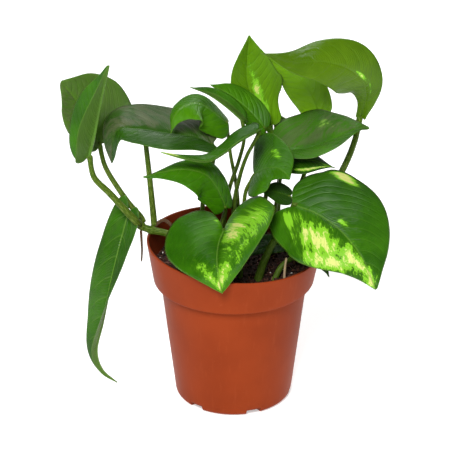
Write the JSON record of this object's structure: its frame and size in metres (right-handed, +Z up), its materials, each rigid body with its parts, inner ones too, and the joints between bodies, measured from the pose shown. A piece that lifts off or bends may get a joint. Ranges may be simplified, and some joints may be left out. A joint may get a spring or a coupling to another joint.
{
  "type": "potted pothos plant",
  "caption": "Young pothos with heart-shaped green and cream-marbled leaves on arching stalks, in a round terracotta-coloured plastic nursery pot with one leaf trailing over the rim.",
  "frame": {"origin": "centre of the pot's flat underside, on the surface it stands on", "axes": "+Z up along the pot's axis; -Y towards the side where the widest variegated leaves hang; +X to the right seen from that side"},
  "size_m": [0.1943, 0.1132, 0.2228],
  "materials": {
    "pot_plastic": "satin",
    "soil": "matte",
    "leaf_green": "satin",
    "leaf_variegated": "satin",
    "stalk_green": "satin",
    "dried_sheath": "matte",
    "root": "matte"
  },
  "bodies": {
    "root": {"pot": "pot_plastic", "leaf_left_back": "leaf_green", "leaf_left_folded": "leaf_green", "leaf_left_middle": "leaf_green", "leaf_arching": "leaf_green", "leaf_pointed_left": "leaf_green", "leaf_pointed_centre": "leaf_green", "leaf_top_upright": "leaf_variegated", "leaf_curled_centre": "leaf_variegated", "leaf_edge_on": "leaf_variegated", "leaf_right_dark": "leaf_green", "leaf_right_under": "leaf_variegated", "leaf_front_right": "leaf_variegated", "leaf_front_left": "leaf_variegated", "leaf_front_arching": "leaf_green", "leaf_hanging": "leaf_green", "leaf_in_pot": "leaf_green", "leaf_shaded_centre": "leaf_green", "leaf_small_right": "leaf_green", "leaf_top_arching": "leaf_green", "leaf_top_under": "leaf_green", "leaf_small_back": "leaf_green", "stalk_left_back": "stalk_green", "stalk_left_folded": "stalk_green", "stalk_left_middle": "stalk_green", "stalk_arching": "stalk_green", "stalk_pointed_left": "stalk_green", "stalk_pointed_centre": "stalk_green", "stalk_top_upright": "stalk_green", "stalk_curled_centre": "stalk_green", "stalk_edge_on": "stalk_green", "stalk_right_dark": "stalk_green", "stalk_right_under": "stalk_green", "stalk_front_right": "stalk_green", "stalk_front_left": "stalk_green", "stalk_front_arching": "stalk_green", "stalk_hanging": "stalk_green", "stalk_in_pot": "stalk_green", "stalk_shaded_centre": "stalk_green", "stalk_small_right": "stalk_green", "stalk_top_arching": "stalk_green", "stalk_top_under": "stalk_green", "stalk_small_back": "stalk_green", "bare_stalk_tall": "stalk_green", "sheath_node": "dried_sheath", "runner_vine": "stalk_green", "vine_node": "stalk_green", "air_root": "root", "sheath_stick": "dried_sheath", "soil": "soil"}
  },
  "joints": []
}
